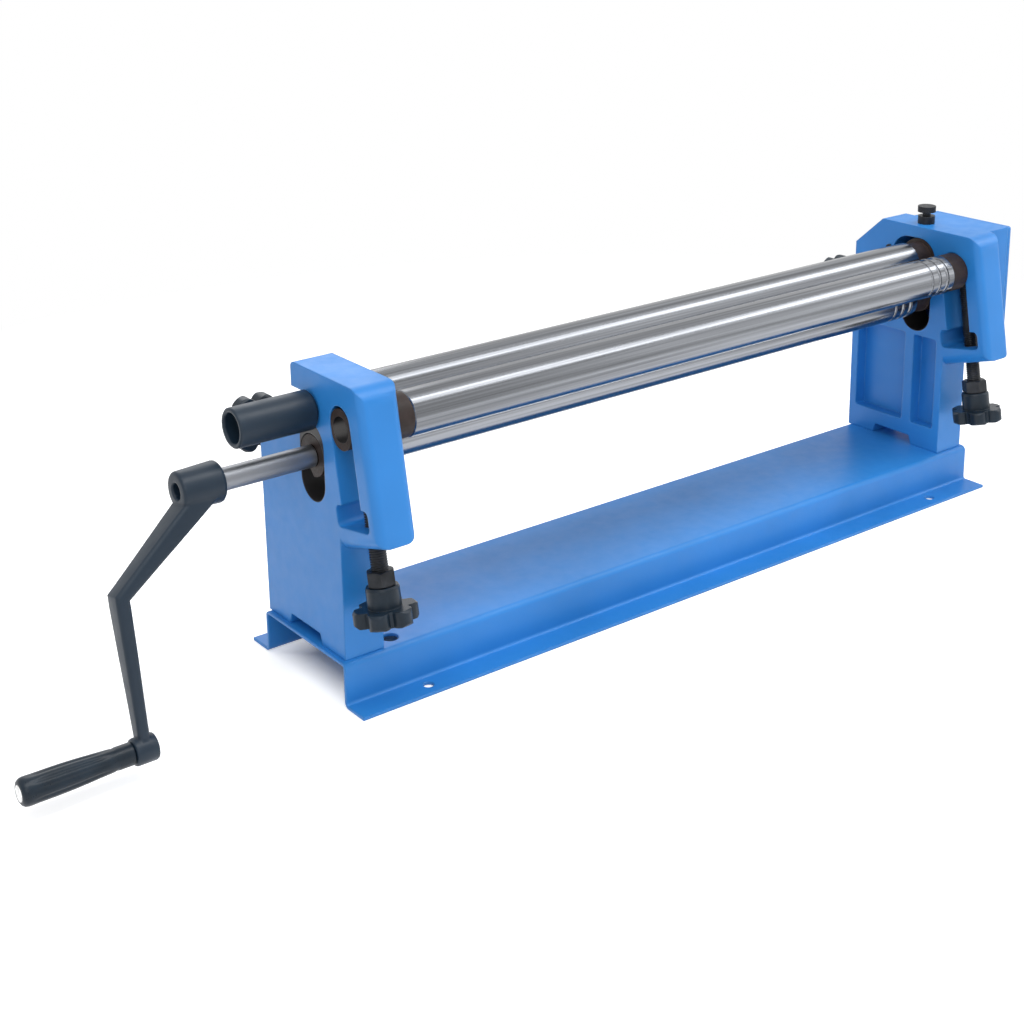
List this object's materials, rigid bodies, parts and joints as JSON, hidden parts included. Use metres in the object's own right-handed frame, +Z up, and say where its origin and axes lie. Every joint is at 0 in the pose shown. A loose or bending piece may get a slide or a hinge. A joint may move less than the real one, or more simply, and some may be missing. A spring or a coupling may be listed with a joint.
{
  "type": "bench slip roll",
  "caption": "Bench slip roll: long steel rolls between cast end frames on a bent sheet base, turned by a hand crank, with screw knobs for pinch and bend and a top roll that swings out.",
  "frame": {"origin": "centre of the rectangle of four bench bolt holes, on the bench plane (underside of the base flanges)", "axes": "+X along the rolls from the crank end to the gear end, +Y to the back of the machine, +Z up"},
  "size_m": [1.0585, 0.2272, 0.2895],
  "materials": {
    "blue_paint": "semi-gloss",
    "ground_steel": "ground",
    "bearing_iron": "oiled",
    "black_steel": "black oxide",
    "black_plastic": "satin",
    "dark_paint": "satin",
    "zinc_steel": "zinc plated",
    "gear_steel": "machined",
    "pad_brass": "plain"
  },
  "bodies": {
    "frame": {"base_plate": "blue_paint", "left_frame": "blue_paint", "right_frame": "blue_paint", "foot_bolts": "black_steel", "foot_washers": "zinc_steel", "gear_cover": "blue_paint", "cover_screws": "black_steel", "side_screw": "black_steel", "lock_nut": "black_steel"},
    "lower_bearings": {"lower_block_left": "bearing_iron", "lower_block_right": "bearing_iron"},
    "lower_roll": {"lower_roll": "ground_steel", "lower_gear": "gear_steel", "lower_gear_key": "black_steel", "lower_gear_clip": "black_steel", "crank_arm": "dark_paint", "crank_set_screw": "black_steel", "grip_bolt": "zinc_steel"},
    "crank_grip": {"crank_grip": "black_plastic"},
    "top_bearings": {"top_block_left": "bearing_iron", "top_block_right": "bearing_iron"},
    "top_roll": {"top_roll": "ground_steel", "roll_sleeve": "dark_paint", "top_gear": "gear_steel", "top_gear_key": "black_steel", "top_gear_clip": "black_steel"},
    "bending_bearings": {"bending_block_left": "bearing_iron", "bending_block_right": "bearing_iron"},
    "bending_roll": {"bending_roll": "ground_steel"},
    "lock_pad": {"lock_pad": "pad_brass"},
    "lock_screw": {"lock_screw": "black_steel"},
    "front_screw_left": {"front_screw_left": "black_steel", "front_nut_left": "black_steel", "front_knob_left": "black_plastic"},
    "wedge_left": {"wedge_pin_left": "black_steel"},
    "rear_screw_left": {"rear_screw_left": "black_steel", "rear_nut_left": "black_steel", "rear_knob_left": "black_plastic"},
    "front_screw_right": {"front_screw_right": "black_steel", "front_nut_right": "black_steel", "front_knob_right": "black_plastic"},
    "wedge_right": {"wedge_pin_right": "black_steel"},
    "rear_screw_right": {"rear_screw_right": "black_steel", "rear_nut_right": "black_steel", "rear_knob_right": "black_plastic"}
  },
  "joints": [
    {"name": "pinch_lift", "type": "slide", "parent": "frame", "child": "lower_bearings", "axis": [0, 0, 1], "range_m": [-0.003, 0]},
    {"name": "crank_turn", "type": "hinge", "parent": "lower_bearings", "child": "lower_roll", "pos_m": [0, -0.0205, 0.2004], "axis": [1, 0, 0], "continuous": true},
    {"name": "grip_spin", "type": "hinge", "parent": "lower_roll", "child": "crank_grip", "pos_m": [-0.6, -0.05639, 0.02401], "axis": [1, 0, 0], "continuous": true},
    {"name": "top_release", "type": "hinge", "parent": "frame", "child": "top_bearings", "pos_m": [0.391, -0.0205, 0.2388], "axis": [0, 0, -1], "range_deg": [0, 4.5]},
    {"name": "top_roll_turn", "type": "hinge", "parent": "top_bearings", "child": "top_roll", "pos_m": [0.391, -0.0205, 0.2388], "axis": [1, 0, 0], "continuous": true},
    {"name": "bending_lift", "type": "slide", "parent": "frame", "child": "bending_bearings", "axis": [0, 0.1736, 0.9848], "range_m": [-0.04, 0.002]},
    {"name": "bending_roll_turn", "type": "hinge", "parent": "bending_bearings", "child": "bending_roll", "pos_m": [0, -0.0646, 0.2341], "axis": [1, 0, 0], "continuous": true},
    {"name": "front_screw_left_turn", "type": "hinge", "parent": "bending_bearings", "child": "front_screw_left", "pos_m": [-0.358, -0.0646, 0.2341], "axis": [0, 0.1736, 0.9848], "range_deg": [-7200, 360]},
    {"name": "wedge_left_slide", "type": "slide", "parent": "frame", "child": "wedge_left", "axis": [0, 1, 0], "range_m": [0, 0.003]},
    {"name": "rear_screw_left_turn", "type": "hinge", "parent": "wedge_left", "child": "rear_screw_left", "pos_m": [-0.358, 0.06, 0.189], "axis": [0, 1, 0], "range_deg": [0, 540]},
    {"name": "front_screw_right_turn", "type": "hinge", "parent": "bending_bearings", "child": "front_screw_right", "pos_m": [0.358, -0.0646, 0.2341], "axis": [0, 0.1736, 0.9848], "range_deg": [-7200, 360]},
    {"name": "wedge_right_slide", "type": "slide", "parent": "frame", "child": "wedge_right", "axis": [0, 1, 0], "range_m": [0, 0.003]},
    {"name": "rear_screw_right_turn", "type": "hinge", "parent": "wedge_right", "child": "rear_screw_right", "pos_m": [0.358, 0.06, 0.189], "axis": [0, 1, 0], "range_deg": [0, 540]},
    {"name": "lock_pad_slide", "type": "slide", "parent": "frame", "child": "lock_pad", "axis": [0, 0, 1], "range_m": [0, 0.002]},
    {"name": "lock_screw_turn", "type": "hinge", "parent": "lock_pad", "child": "lock_screw", "pos_m": [0.358, -0.0135, 0.28], "axis": [0, 0, 1], "range_deg": [0, 576]}
  ],
  "couplings": [
    {"joint": "top_roll_turn", "follows": "crank_turn", "ratio": -1},
    {"joint": "front_screw_left_turn", "follows": "bending_lift", "rad_per_m": 3141.6},
    {"joint": "front_screw_right_turn", "follows": "bending_lift", "rad_per_m": 3141.6},
    {"joint": "rear_screw_left_turn", "follows": "pinch_lift", "rad_per_m": -3141.6},
    {"joint": "wedge_left_slide", "follows": "pinch_lift", "ratio": -1},
    {"joint": "wedge_right_slide", "follows": "pinch_lift", "ratio": -1},
    {"joint": "rear_screw_right_turn", "follows": "pinch_lift", "rad_per_m": -3141.6},
    {"joint": "lock_screw_turn", "follows": "lock_pad_slide", "rad_per_m": 5026.5}
  ]
}
